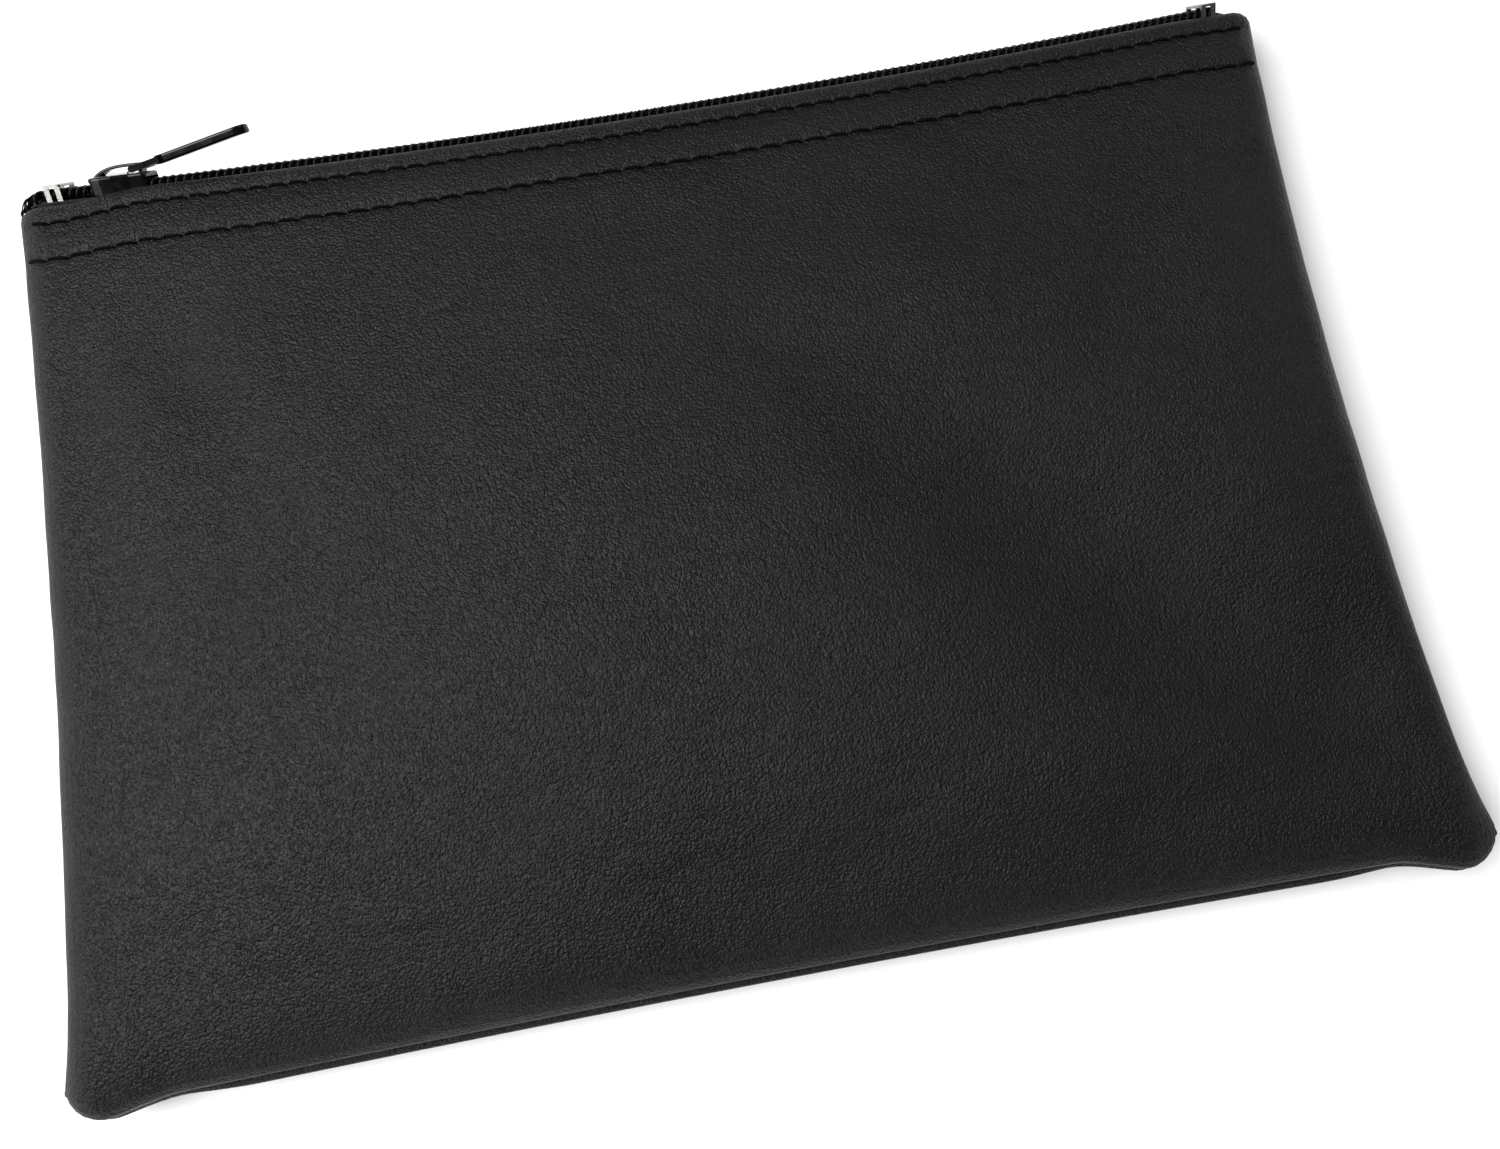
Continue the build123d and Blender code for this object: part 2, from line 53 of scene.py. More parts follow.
# --- places taken from the frame
STOP_L = [corner.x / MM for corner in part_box("end_stop_left")]  # its two ends along the zip
SEAM_GAP = 0.05  # half the gap between the two panels along the seam
SEAM_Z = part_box("front_panel")[0].z / MM - SEAM_GAP
ZIP_RADIUS = 2700.0  # the zip edge bows in along this very long arc
PIVOT_Y = frame["record"]["behaviour"]["joints"][0]["pos_m"][1] / MM
ZIP_Y = PIVOT_Y - ZIP_RADIUS

# --- outline of the bag
HALF = 139.5  # half its length at the zip
FLARE = 1.5  # and this much more at the bottom
BOTTOM_Y = -96.2  # the bottom edge at its ends, before the ears
BOTTOM_BOW = 1.6  # the middle of the bottom edge lies this much higher than its ends
LEFT_BOW, RIGHT_BOW = 2.0, 4.5  # the side edges curve in this far
CORNER = 8.0  # radius of the bottom corners
LEFT_EAR, RIGHT_EAR = 2.6, 3.8  # the filled bottom corners stand out this far
EAR_START, EAR_EASE = 2.6 * CORNER, 2.2 * CORNER  # they begin this far inside, and grow over this length
EAR_SIDEWAYS = 0.35  # share of the ear that also goes sideways
CORNER_OUT = 1.2  # the side edge bulges this far beside a bottom corner
BULGE_UP, BULGE_REACH = 4.0, 7.0  # the bulge's middle above the bottom edge, and its reach
SHOULDER = 5.5  # radius of the upper corners
SHOULDER_END, SHOULDER_DROP = 0.88, 0.8  # share of their arc that is used, and of its fall
LEFT_FALL, LEFT_FROM, LEFT_EASE = 2.2, -110, 20  # the front's fold lies lower past here, over this length
RIGHT_FALL, RIGHT_FROM, RIGHT_EASE = 0.6, 118, 16
FALL_START, FALL_REACH = 4.0, 22.0  # below the fold, both ease off from here, over this length

# --- section of the bag
SKIN = 0.7  # thickness of the leatherette
DOME = 8.5  # rise of the front panel
DOME_LOW, DOME_LEAN = 1.15, 0.35  # the dome is fuller toward the bottom
REST_GAP = 0.02  # the back clears the floor by this
REST_REACH = 28.0  # length over which the back comes down from the zip to the floor
SIDE_ROLL, BOTTOM_ROLL = 7.5, 15.0  # reach of the soft rolls inside the outline
ROLL_ANGLES = (-60, -40, -20, 0, 14, 28, 42, 56, 70, 80)  # from a roll's crease to its top
CREASE_ANGLE = 60
CREASE, CREASE_IN = 1.3, 1.1  # a roll's widest line is this far above the seam, and this far outside it
FRONT_OUT, BACK_OUT = -0.6, 1.2  # how far the two bottom rolls stand out past the outline
ROLL_EASE, ROLL_END = 24.0, 2.0  # the back's fades over this length, and ends this far from the corner
MOUTH_SHARE = 0.12  # share of a panel's run over which it rises to the zip
RIM_KEEP = 0.3  # share of the height that the mouth keeps at the side edges
PANEL_RUN, CALM_REACH = 185.0, 22.0  # a panel's rounded run, and its calm stretch below the zip
BACK_SLACK, BACK_GATHER = 0.3, 0.4  # share of the folds on the back, where they only dent inward
ALLOWANCE, ALLOWANCE_GAP = 4.3, 0.02  # width of the seam allowances, and their gap from the seam's plane

# --- hem and stitching, as distances below the hem's fold
HEM_START = 24.0  # the hem's fold lies at this turn round the bend, in degrees
HEM_DEPTH = 15.5  # the turned layer reaches down to here
HEM_FOLD = 0.98 * SKIN  # radius of the fold
UPPER_ROW, UPPER_PITCH, UPPER_STITCH = 4.0, 4.3, 4.2  # distance below the fold, pitch, stitch length
LOWER_ROW, LOWER_PITCH, LOWER_STITCH = 13.0, 5.0, 4.9
ROW_END = 4.5  # the rows end this far from the side edge
DIPPED = 20.0  # the sheet is shaped by the stitching down to here
THREAD, SEAM_THREAD = 0.30, 0.20  # radii
SEAM_PITCH, SEAM_INSET = 3.6, 2.2  # the seam's own stitches, inside its crease
FINE_REACH, FINE_STEP, BEND_STEP = 20.0, 0.45, 0.5  # finer rows near the hem and round the bend

# --- the zip, in the chain's own directions: along, across and above
TILT = radians(35.0)  # the chain faces outward and this far upward
TAPE, TAPE_FLAT, BEND = 0.45, 4.4, 1.9  # thickness, flat width by the coil, inner radius of the bend
TAPE_EDGE, TAPE_PART = 0.66, 0.5  # gap from the middle to the tape, and its growth where the coils part
TAPE_GAP, TAPE_THIN = 0.03, 0.05  # the tape clears the hem and the coil by these
TAPE_HALF = 134.0
TAPE_DEEP, TAPE_SHALLOW = 14.0, 4.0  # the tape's run beneath the hem, below the fold
TURN = {1: 45.0, -1: 125.0}  # degrees round the bend, front and back
HEM_OUT = TAPE / 2 + 2 * SKIN  # the hem's face, outward from the bend's inner radius
SLIDER_AT, SLIDER_HALF, POST_HALF = -116.6, 6.15, 2.6  # the slider's middle, half length and half wedge
SPREAD = 1.25  # each coil moves out this far where it is parted
STOP_SPREAD, STOP_EASE = 1.1, 4.0  # share of it past the left stop, and the length it takes
PITCH = 1.78
COIL_WIRE = 0.34  # the filament's radius
COIL_ACROSS, COIL_HALF_WIDTH = 1.12, 1.72
COIL_ABOVE, COIL_HALF_HEIGHT = 1.25, 0.95
COIL_LEAN, COIL_FLAT = 0.075, 0.8  # lean as a share of the pitch, and the power that squares its section
CHAIN_LEFT, CHAIN_RIGHT = -138.4, TAPE_HALF - 1
CURL_START, CURL_RADIUS, CURL_MOST = -133.6, 3.6, 1.45  # the left end's curl, at most this many radians
CORD_ACROSS, CORD_ABOVE, CORD_RADIUS = 1.42, 1.38, 0.66  # the filler cord inside the coil
CORD_PLIES, CORD_TURN, CORD_SPAN = 3, 2.4, (-138, 132)
ROW_ACROSS, ROW_ABOVE, ROW_RADIUS, ROW_WAVE = (1.25, 2.05), 2.18, 0.13, 0.05  # thread rows over the coil
ROW_SPAN = (-137.6, 131.6)
STRAND_STEP = 0.9


def smooth(part):
    """Eases from 0 to 1 as part goes from 0 to 1."""
    part = min(1.0, max(0.0, part))
    return part * part * (3 - 2 * part)


def hill(off, reach):
    """A smooth hill of height 1, this far off its top."""
    return exp(-((off / reach) ** 2))


# --- places along the zip
def arc_point(along, out, up):
    """A point this far along the zip's arc, outward from it and above the seam."""
    turn = along / ZIP_RADIUS
    reach = ZIP_RADIUS - out
    return Vector((reach * sin(turn), PIVOT_Y - reach * cos(turn), SEAM_Z + up))


def chain_point(along, across, above):
    """The same in the tilted chain's directions."""
    out = above * cos(TILT) - across * sin(TILT)
    up = above * sin(TILT) + across * cos(TILT)
    return arc_point(along, out, up)


def spread_at(along):
    """How far the coils stand apart: meshed 0, parted 1, and parted again past the left stop."""
    nose, post, tail = SLIDER_AT - SLIDER_HALF, SLIDER_AT - POST_HALF, SLIDER_AT + POST_HALF
    if along >= tail:
        return 0.0
    if along < STOP_L[0]:
        return STOP_SPREAD * smooth((STOP_L[0] - along) / STOP_EASE)
    if along <= STOP_L[1]:
        return 0.0
    if along > post:
        return smooth((tail - along) / (tail - post))
    if along < nose:
        return smooth((along - STOP_L[1]) / (nose - STOP_L[1]))
    return 1.0


# --- panel surfaces; side is 1 for the front panel and -1 for the back panel
def bend_point(side, x, turned, depth, share=1.0):
    """A point round the bend between the chain and the panel, this deep under the hem's face."""
    hub_above = -TAPE / 2 - BEND
    hub_out = hub_above * cos(TILT) - side * TAPE_FLAT * sin(TILT)
    hub_up = hub_above * sin(TILT) + side * TAPE_FLAT * cos(TILT)
    angle = TILT + side * radians(turned)
    reach = BEND + HEM_OUT - depth
    return arc_point(x, (hub_out + reach * cos(angle)) * share, (hub_up + reach * sin(angle)) * share)


def bend_length(side):
    """Length of the sheet from the hem's fold round the bend to the field."""
    return (BEND + HEM_OUT) * radians(TURN[side] - HEM_START)


def bottom_line(x):
    """The bottom seam's line, with its round corners and the ears."""
    over = max(0.0, abs(x) - (HALF - CORNER))
    round_up = CORNER - sqrt(max(0.0, CORNER**2 - over**2))
    share = x / HALF
    ear = (LEFT_EAR if x < 0 else RIGHT_EAR) * smooth((abs(x) - HALF + EAR_START) / EAR_EASE)
    y = BOTTOM_Y + BOTTOM_BOW * (1 - share**2) + round_up - ear
    return Vector((x + (FLARE + EAR_SIDEWAYS * ear) * share, y, 0))


def field_length(side):
    """Length of the field from the bottom seam to the bend, at the middle of the zip."""
    return bend_point(side, 0, TURN[side], 0).y - bottom_line(0).y


def bump(x, y, cx, cy, rx, ry, turn=0.0):
    """A smooth round hill of height 1, rx by ry, turned by that many degrees."""
    c, s = cos(radians(turn)), sin(radians(turn))
    u, v = (x - cx) * c + (y - cy) * s, -(x - cx) * s + (y - cy) * c
    return exp(-((u / rx) ** 2) - (v / ry) ** 2)


# Noise in the sheet: height, wavelength along x and y, and 1 where the seed shifts x, 0 where y.
WAVES = [(0.95, 46, 34, 1), (0.30, 17, 13, 0), (0.12, 6.5, 5.0, 1), (0.05, 2.9, 2.4, 0)]
FRONT_SEED, BACK_SEED = 3.1, 17.4
# Slack places of the front panel: centre x, y, reach along and across, turn, height.
FRONT_FORMS = [
    (82, -30, 70, 20, -44, -5.0),
    (-104, 46, 26, 9, -62, -1.3),
    (-97, -26, 30, 8, 20, -0.8),
    (30, -78, 90, 9, 2, -0.9),
    (-125, 20, 6, 48, 4, -0.7),
    (20, 46, 60, 12, -6, 0.5),
    (-62, -48, 54, 30, 10, 1.0),
    (116, 22, 14, 60, -4, 1.4),
    (58, -72, 34, 10, 6, 1.1),
    (60, -62, 40, 12, 4, 0.6),
    (-36, 12, 34, 10, 28, -0.4),
    (118, -58, 16, 14, 30, -1.0),
    (-120, -70, 12, 14, 40, -0.6),
]
# Sharp little folds: x, y, length, turn, depth.
FRONT_FOLDS = [
    (-92, -19, 16, 8, 0.30), (-84, -23, 14, 20, 0.24), (-48, 52, 17, 28, 0.28),
    (-38, 58, 12, 34, 0.22), (62, -6, 14, -30, 0.26), (75, -14, 18, -38, 0.30),
    (44, 8, 12, -24, 0.20), (100, -38, 13, -48, 0.26), (-112, 30, 12, 66, 0.26),
    (-20, -70, 14, 6, 0.20), (24, -66, 12, -8, 0.22), (88, -66, 13, 12, 0.26),
    (-70, -72, 12, -4, 0.22), (10, 30, 14, 14, 0.18), (-118, 58, 10, 72, 0.25),
]
FOLD_WIDTH = 0.9
LIP_WIDTH, LIP_OFF, LIP_SHARE = 1.2, 1.6, 0.6  # the low ridge beside each fold
FOLD_WANDER, FOLD_WAVE = 0.9, 4.0


def slack(side, x, y):
    """Uneven rise and fall of the soft sheet."""
    seed = FRONT_SEED if side > 0 else BACK_SEED
    rise = 0.0
    for height, wave_x, wave_y, lead in WAVES:
        spot = Vector((x / wave_x + seed * lead, y / wave_y + seed * (1 - lead), seed))
        rise += height * noise.noise(spot)
    if side > 0:
        for cx, cy, rx, ry, turn, height in FRONT_FORMS:
            rise += height * bump(x, y, cx, cy, rx, ry, turn)
        for cx, cy, reach, turn, depth in FRONT_FOLDS:
            bow = FOLD_WANDER * sin((x + y) / FOLD_WAVE)
            rise -= depth * bump(x, y + bow, cx, cy, reach / 2, FOLD_WIDTH, turn)
            rise += LIP_SHARE * depth * bump(x, y + bow - LIP_OFF, cx, cy, reach / 2, LIP_WIDTH, turn)
    return rise


def gathers(along, inward, height, wave, drift, fade):
    """Ripples along a seam that die out inward; drift is the length over which their beat changes."""
    return height * sin(along / wave[0] + wave[1] * sin(along / drift)) * exp(-inward / fade)


def seam_pull(x, y):
    """Short gathers that run in from the bottom and side seams."""
    return (gathers(x, y - BOTTOM_Y, 0.30, (2.9, 2.0), 11.0, 7.0)
            + gathers(y, HALF - abs(x), 0.25, (3.3, 1.7), 14.0, 6.0))


def side_lift(angle):
    """0 at and below a roll's widest line, 1 at its top."""
    return max(0.0, sin(angle))


def below(angle):
    """1 at a roll's crease, 0 at its widest line and above."""
    return max(0.0, -sin(angle) / sin(radians(CREASE_ANGLE)))


def rim_share(angle, mouth=1.0):
    """Share of the full height at this angle of the side roll; the mouth keeps some at its ends."""
    return min(1.0, hypot(side_lift(angle), RIM_KEEP * mouth * cos(angle)))


def panel_sheet_point(side, x, x_angle, run, y_angle):
    """A point of the field: x is the base column; run goes from the bottom seam 0 to the bend 1."""
    start = bottom_line(x)
    mouth = smooth(1 - (1 - run) / MOUTH_SHARE)
    rim = rim_share(x_angle, mouth)
    end = bend_point(side, x, TURN[side], 0.0, rim)
    share = x / HALF
    bow = LEFT_BOW if x < 0 else RIGHT_BOW
    px = start.x + (end.x - start.x) * run - bow * share**5 * 4 * run * (1 - run)
    py = start.y + (end.y - start.y) * run
    px += CORNER_OUT * share**7 * hill(py - BOTTOM_Y - BULGE_UP, BULGE_REACH)
    edge = abs(bend_point(side, 0.0, TURN[side], 0.0).z - SEAM_Z)
    if side > 0:
        swell = DOME * (1 - share**2) * 4 * run * (1 - run) * (DOME_LOW - DOME_LEAN * run)
    else:
        swell = (SEAM_Z - REST_GAP - edge) * smooth((end.y - py) / REST_REACH)
    lift = rim * side_lift(y_angle)
    low = CREASE * (1 - mouth) * (1 - max(below(x_angle), below(y_angle)))
    height = low + (edge + swell - low) * lift
    calm = smooth((1 - run) * PANEL_RUN / CALM_REACH) * lift
    if side > 0:
        height += slack(side, px, py) * calm + seam_pull(px, py) * lift * (1 - mouth)
    else:
        height += (-abs(slack(side, px, py)) * BACK_SLACK - BACK_GATHER * abs(seam_pull(px, py))) * calm
    return Vector((px, py, SEAM_Z + side * height))


def row_run(side, below_rim):
    """Run of the line that lies this far below the hem's fold, at the middle of the zip."""
    return 1 - (below_rim - bend_length(side)) / field_length(side)


def stitch_line(side, x, below_rim):
    """A point of the panel on a stitch row, with the row's own place on bend or field."""
    round_bend = bend_length(side)
    if below_rim < round_bend:
        turned = HEM_START + (TURN[side] - HEM_START) * below_rim / round_bend
        point = bend_point(side, x, turned, 0.0, rim_share(column_angle(x)))
    else:
        point = panel_sheet_point(side, x, column_angle(x), row_run(side, below_rim), pi / 2)
    return point - shoulder_move(side, x, below_rim)


def column_angle(x):
    """Angle of the side roll at this column; a right angle on the field."""
    inset = HALF - abs(x)
    if inset >= SIDE_ROLL:
        return pi / 2
    return asin(sqrt(max(0.0, 1 - (1 - inset / SIDE_ROLL) ** 2)))


def roll_inset(angle, radius):
    """Distance inward from the outline, round a soft roll from its crease to its top."""
    if angle < 0:
        return CREASE_IN * (1 - cos(angle)) / (1 - cos(radians(CREASE_ANGLE)))
    return radius * (1 - cos(angle))


def panel_columns(step):
    """Pairs of base x and roll angle, from the crease at one side to the other."""
    angles = [radians(a) for a in ROLL_ANGLES]
    edge = [(HALF - roll_inset(a, SIDE_ROLL), a) for a in angles]
    inner = HALF - SIDE_ROLL
    count = int(2 * inner / step)
    middle = [(-inner + 2 * inner * i / count, pi / 2) for i in range(count + 1)]
    return [(-x, a) for x, a in edge] + middle + [(x, a) for x, a in reversed(edge)]


def bottom_reach(side, x, angle):
    """How far the bottom roll stands out past the outline; the back's fades out at the corners."""
    free = smooth((HALF - CORNER - ROLL_END - abs(x)) / ROLL_EASE)
    out = BACK_OUT * free if side < 0 else FRONT_OUT
    return out * max(0.0, cos(angle) if angle > 0 else 2 * cos(angle) - 1)


def stitch_dip(below_rim, x):
    """Depth the thread pulls the sheet down, deepest at each needle hole."""
    dip = 0.0
    for row, pitch in ((UPPER_ROW, UPPER_PITCH), (LOWER_ROW, LOWER_PITCH)):
        off = below_rim - row
        hole = 0.5 + 0.5 * cos(2 * pi * (x / pitch + 0.5))
        groove = (0.22 + 0.42 * hole**4) * hill(off, 0.75 + 0.35 * hole)
        upper_lip = 0.12 * hill(off + 1.9, 1.1) * (0.6 + 0.4 * hole)
        lower_shade = 0.10 * hill(off - 2.2, 1.6)
        dip += groove
        dip -= upper_lip
        dip += lower_shade
    crown_between_rows = 0.22 * hill(below_rim - 8.4, 2.6)
    return dip - crown_between_rows


# A row of the sheet: on the "field" its value is the run, on the "bend" the degrees turned.
Row = namedtuple("Row", "kind value angle below_rim")


def panel_rows(side, step):
    """The sheet's rows from the seam to the hem's fold."""
    length, round_bend = field_length(side), bend_length(side)

    def field_row(run, angle=pi / 2):
        return Row("field", run, angle, round_bend + length * (1 - run))

    rows = []
    for a in ROLL_ANGLES:
        angle = radians(a)
        rows.append(field_row(roll_inset(angle, BOTTOM_ROLL) / length, angle))
    count = int((length - BOTTOM_ROLL - FINE_REACH) / step)
    start = BOTTOM_ROLL / length
    fine = 1 - FINE_REACH / length
    rows += [field_row(start + (fine - start) * i / count) for i in range(count + 1)]
    fine_count = int(FINE_REACH / FINE_STEP)
    rows += [field_row(fine + (1 - fine) * i / fine_count) for i in range(1, fine_count)]
    steps = max(6, int(round_bend / BEND_STEP))
    for i in range(steps + 1):
        turned = TURN[side] + (HEM_START - TURN[side]) * i / steps
        rows.append(Row("bend", turned, 0.0, round_bend * (1 - i / steps)))
    return rows


def make_grid_mesh(name, grid):
    """A quad mesh through a grid of points given in millimetres."""
    rows = len(grid[0])
    verts = [p * MM for column in grid for p in column]
    faces = []
    for i in range(len(grid) - 1):
        for j in range(rows - 1):
            a = i * rows + j
            faces.append((a, a + rows, a + rows + 1, a + 1))
    obj = mesh_object(name, verts, faces)
    clean = bmesh.new()
    clean.from_mesh(obj.data)
    bmesh.ops.remove_doubles(clean, verts=clean.verts, dist=1e-6)
    clean.to_mesh(obj.data)
    clean.free()
    return obj


def mesh_object(name, verts, faces):
    """A smooth-shaded object of these vertices, in metres, and faces."""
    mesh = bpy.data.meshes.new(name)
    mesh.from_pydata(verts, [], faces)
    for face in mesh.polygons:
        face.use_smooth = True
    obj = bpy.data.objects.new(name, mesh)
    bpy.context.collection.objects.link(obj)
    return obj


def make_sheet(side, name, grid, thickness):
    """A sheet through a grid of points, thickened inward."""
    obj = make_grid_mesh(name, grid)
    if side > 0:
        obj.data.flip_normals()
    solid = obj.modifiers.new("thickness", "SOLIDIFY")
    solid.thickness = thickness * MM
    solid.offset = 1.0
    return obj


def make_panel(side, name, step):
    """Leatherette sheet: allowance, seam crease, field, hem fold and turned hem."""
    rows = panel_rows(side, step)
    length = field_length(side)
    grid = []
    for x, x_angle in panel_columns(step):
        column = []
        for row in rows:
            if row.kind == "field":
                run = row.value - bottom_reach(side, x, row.angle) / length
                column.append(panel_sheet_point(side, x, x_angle, run, row.angle))
            else:
                column.append(bend_point(side, x, row.value, 0.0, rim_share(x_angle)))
        grid.append(column)
    round_shoulders(side, grid, rows)
    dip_stitches(side, grid, rows)
    fold_hems(side, grid, rows)
    add_allowances(side, grid)
    return make_sheet(side, name, grid, SKIN)


def shoulder_move(side, x, below_rim):
    """Drop of the zip edge at the bag's two upper corners, easing off down the panel."""
    over = min(SHOULDER_END * SHOULDER, max(0.0, abs(x) - (HALF - SHOULDER)))
    drop = SHOULDER_DROP * (SHOULDER - sqrt(SHOULDER**2 - over**2))
    if side > 0:
        drop += LEFT_FALL * smooth((LEFT_FROM - x) / LEFT_EASE)
        drop += RIGHT_FALL * smooth((x - RIGHT_FROM) / RIGHT_EASE)
    return Vector((0, drop * smooth(1 - (below_rim - FALL_START) / FALL_REACH), 0))


def round_shoulders(side, grid, rows):
    """Lowers the hem's fold at both ends."""
    for column in grid:
        for j, row in enumerate(rows):
            column[j] = column[j] - shoulder_move(side, column[j].x, row.below_rim)


def grid_normal(side, grid, i, j):
    left, right = grid[max(0, i - 1)][j], grid[min(len(grid) - 1, i + 1)][j]
    near, far = grid[i][max(0, j - 1)], grid[i][min(len(grid[0]) - 1, j + 1)]
    normal = (right - left).cross(far - near) * side
    return normal.normalized() if normal.length > 1e-9 else Vector((0, 0, side))


def dip_stitches(side, grid, rows):
    """Pulls the sheet in along both rows of topstitching."""
    moves = []
    for i, column in enumerate(grid):
        for j, row in enumerate(rows):
            if row.below_rim < DIPPED:
                x = column[j].x
                calm = smooth((HALF - 1 - abs(x)) / 4)
                dip = stitch_dip(row.below_rim, x) * calm
                moves.append((i, j, grid_normal(side, grid, i, j) * -dip))
    for i, j, move in moves:
        grid[i][j] = grid[i][j] + move


def fold_hems(side, grid, rows):
    """Adds the hem's round fold and the layer turned back beneath it to every column."""
    last = len(rows) - 1
    beneath = [j for j in range(last - 1, 0, -2) if rows[j].below_rim < HEM_DEPTH]
    added = []
    for i, column in enumerate(grid):
        tip, normal = column[last], grid_normal(side, grid, i, last)
        run = (tip - column[last - 1]).normalized()
        points = []
        for a in (30, 60, 90, 120, 150, 180):
            angle = radians(a)
            points.append(tip + run * HEM_FOLD * sin(angle) - normal * HEM_FOLD * (1 - cos(angle)))
        points += [column[j] - grid_normal(side, grid, i, j) * 2 * HEM_FOLD for j in beneath]
        added.append(points)
    for column, points in zip(grid, added):
        column.extend(points)


def add_allowances(side, grid):
    """Turns the sheet's side and bottom edges inward as seam allowances."""
    count = len(grid)
    for column in grid:
        seam = column[0]
        limit = HALF - CORNER
        centre = bottom_line(max(-limit, min(limit, seam.x)))
        inward = Vector((centre.x - seam.x, centre.y + CORNER - seam.y, 0)).normalized()
        column.insert(0, seam + inward * ALLOWANCE + Vector((0, 0, side * ALLOWANCE_GAP)))
    for place, index, direction in ((0, 0, 1), (count + 1, -1, -1)):
        edge = grid[index]
        shift = Vector((direction * ALLOWANCE, 0, side * ALLOWANCE_GAP))
        grid.insert(place, [edge[1] + shift if j == 0 else p + shift for j, p in enumerate(edge)])


# --- tubes: filaments, cords and thread
def tube(points, radius, sides):
    """Vertices and faces of a closed round tube along points given in millimetres."""
    verts, faces = [], []
    normal = Vector((0, 0, 1))
    for i, point in enumerate(points):
        ahead = points[min(len(points) - 1, i + 1)] - points[max(0, i - 1)]
        ahead.normalize()
        normal = normal - ahead * normal.dot(ahead)
        if normal.length < 1e-4:
            normal = ahead.orthogonal()
        normal.normalize()
        other = ahead.cross(normal)
        size = radius(i / (len(points) - 1)) if callable(radius) else radius
        for k in range(sides):
            angle = 2 * pi * k / sides
            verts.append((point + (normal * cos(angle) + other * sin(angle)) * size) * MM)
    for i in range(len(points) - 1):
        for k in range(sides):
            a, b = i * sides + k, i * sides + (k + 1) % sides
            faces.append((a, b, b + sides, a + sides))
    faces.append(tuple(reversed(range(sides))))
    last = (len(points) - 1) * sides
    faces.append(tuple(last + k for k in range(sides)))
    return verts, faces


def joined(name, parts):
    """One object from several lists of vertices and faces."""
    verts, faces = [], []
    for part_verts, part_faces in parts:
        base = len(verts)
        verts += part_verts
        faces += [tuple(base + k for k in face) for face in part_faces]
    return mesh_object(name, verts, faces)


def curled_point(along, across, above):
    """Like chain_point, but the chain's left end curls into the bag's corner."""
    if along >= CURL_START:
        return chain_point(along, across, above)
    turned = min(CURL_MOST, (CURL_START - along) / CURL_RADIUS)
    hub = chain_point(CURL_START, across, -CURL_RADIUS)
    foot = chain_point(CURL_START, across, 0)
    normal = (chain_point(CURL_START, across, 1) - foot).normalized()
    tangent = (chain_point(CURL_START + 1, across, 0) - foot).normalized()
    reach = CURL_RADIUS + above
    return hub + normal * reach * cos(turned) - tangent * reach * sin(turned)


def coil_points(side):
    """The filament's flattened helix, parted as the chain is; the back coil lags by half a turn."""
    steps = 22
    lag = 0.0 if side > 0 else 0.5
    first = CHAIN_LEFT - (CHAIN_LEFT + TAPE_HALF - 1) % PITCH
    count = int((CHAIN_RIGHT - first) / PITCH)
    points = []
    for n in range(count * steps):
        theta = 2 * pi * n / steps
        along = first + PITCH * (n / steps + lag + COIL_LEAN * sin(theta))
        across = COIL_ACROSS + COIL_HALF_WIDTH * cos(theta)
        flattened = abs(sin(theta)) ** COIL_FLAT * (1 if sin(theta) > 0 else -1)
        apart = across + SPREAD * spread_at(along)
        points.append(curled_point(along, side * apart, COIL_ABOVE + COIL_HALF_HEIGHT * flattened))
    return points


def strand_points(side, across, above, low, high, wave=0.0):
    """A line along the chain that parts with the coils, waving once for each of their turns."""
    count = int((high - low) / STRAND_STEP)
    points = []
    for n in range(count + 1):
        along = low + (high - low) * n / count
        apart = across + SPREAD * spread_at(along) + wave * sin(along * 2 * pi / PITCH)
        points.append(curled_point(along, side * apart, above + wave * cos(along * 2 * pi / PITCH)))
    return points


def twisted(points, radius, plies, turn_length):
    """Several plies wound round each other along a line."""
    ply_off, ply_radius = 0.5 * radius, 0.56 * radius
    parts = []
    for ply in range(plies):
        line, travelled, normal = [], 0.0, Vector((0, 0, 1))
        for i, point in enumerate(points):
            ahead = (points[min(len(points) - 1, i + 1)] - points[max(0, i - 1)]).normalized()
            normal = (normal - ahead * normal.dot(ahead)).normalized()
            other = ahead.cross(normal)
            if i:
                travelled += (point - points[i - 1]).length
            angle = 2 * pi * (travelled / turn_length + ply / plies)
            line.append(point + (normal * cos(angle) + other * sin(angle)) * ply_off)
        parts.append(tube(line, ply_radius, 6))
    return parts


def make_tape(side, name):
    """Woven tape, flat by the coil and bent round beneath the hem."""
    depth = HEM_OUT - TAPE / 2 + TAPE_GAP
    deep_rows, bend_rows, flat_rows, columns = 7, 10, 6, 134
    grid = []
    for n in range(columns + 1):
        x = -TAPE_HALF + 2 * TAPE_HALF * n / columns
        line = []
        for i in range(deep_rows):
            run = row_run(side, TAPE_DEEP - i * (TAPE_DEEP - TAPE_SHALLOW) / (deep_rows - 1))
            if run >= 1:
                continue
            point = panel_sheet_point(side, x, pi / 2, run, pi / 2)
            near = panel_sheet_point(side, x, pi / 2, run - 0.004, pi / 2)
            inward = (point - near).normalized().cross(Vector((1, 0, 0)))
            line.append(point - inward * depth * (-1 if inward.z * side < 0 else 1))
        for k in range(bend_rows + 1):
            line.append(bend_point(side, x, TURN[side] * (1 - k / bend_rows), depth))
        edge = TAPE_EDGE + TAPE_PART * spread_at(x)
        for k in range(1, flat_rows + 1):
            across = TAPE_FLAT + (edge - TAPE_FLAT) * k / flat_rows
            line.append(chain_point(x, side * across, -TAPE_GAP))
        grid.append(line)
    return make_sheet(side, name, grid, TAPE - TAPE_THIN)


